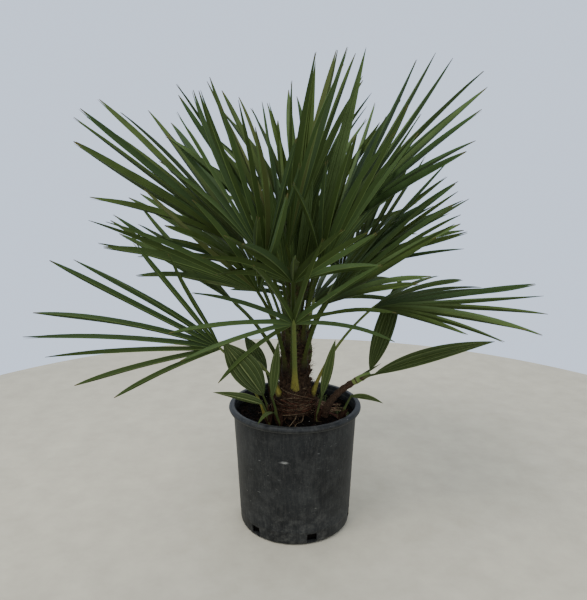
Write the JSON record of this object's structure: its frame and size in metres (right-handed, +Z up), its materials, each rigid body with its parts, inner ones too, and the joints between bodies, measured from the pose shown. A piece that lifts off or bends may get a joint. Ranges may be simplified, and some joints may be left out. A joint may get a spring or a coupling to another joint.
{
  "type": "potted european fan palm",
  "caption": "Young fan palm in a round nursery pot: short fibrous trunk, a full crown of stiff fan-shaped fronds on thin petioles, and young undivided leaves at its foot",
  "frame": {"origin": "Centre of the pot's flat underside, on the surface that the pot stands on", "axes": "+Z up along the pot's axis, -Y toward the side that the plant shows first, +X to the right of a viewer there"},
  "size_m": [0.7692, 0.5911, 0.7516],
  "materials": {
    "pot": "satin",
    "soil": "matte",
    "trunk": "matte",
    "young_stem": "matte",
    "frond": "matte",
    "young_leaf": "matte"
  },
  "bodies": {
    "root": {"pot": "pot", "soil": "soil", "trunk": "trunk", "shoot_stem_right": "young_stem", "frond_front_low": "frond", "frond_front_left": "frond", "frond_front_middle": "frond", "frond_front_right": "frond", "frond_right_low": "frond", "frond_left_low": "frond", "frond_top_middle": "frond", "frond_top_right": "frond", "frond_top_left": "frond", "frond_top_centre_left": "frond", "frond_left_middle": "frond", "frond_upper_front_left": "frond", "frond_upper_front_right": "frond", "frond_right_middle": "frond", "frond_back_top": "frond", "frond_back_middle": "frond", "frond_back_left": "frond", "frond_back_right": "frond", "frond_back_low": "frond", "frond_spear": "frond", "shoot_leaf_left_pleated": "young_leaf", "shoot_leaf_left_upright": "young_leaf", "shoot_leaf_left_flat": "young_leaf", "shoot_leaf_left_drooping": "young_leaf", "shoot_leaf_right_upright": "young_leaf", "shoot_leaf_right_tall": "young_leaf", "shoot_leaf_right_long": "young_leaf", "shoot_leaf_right_low": "young_leaf", "shoot_leaf_back_left": "young_leaf", "shoot_leaf_back_right": "young_leaf"}
  },
  "joints": []
}
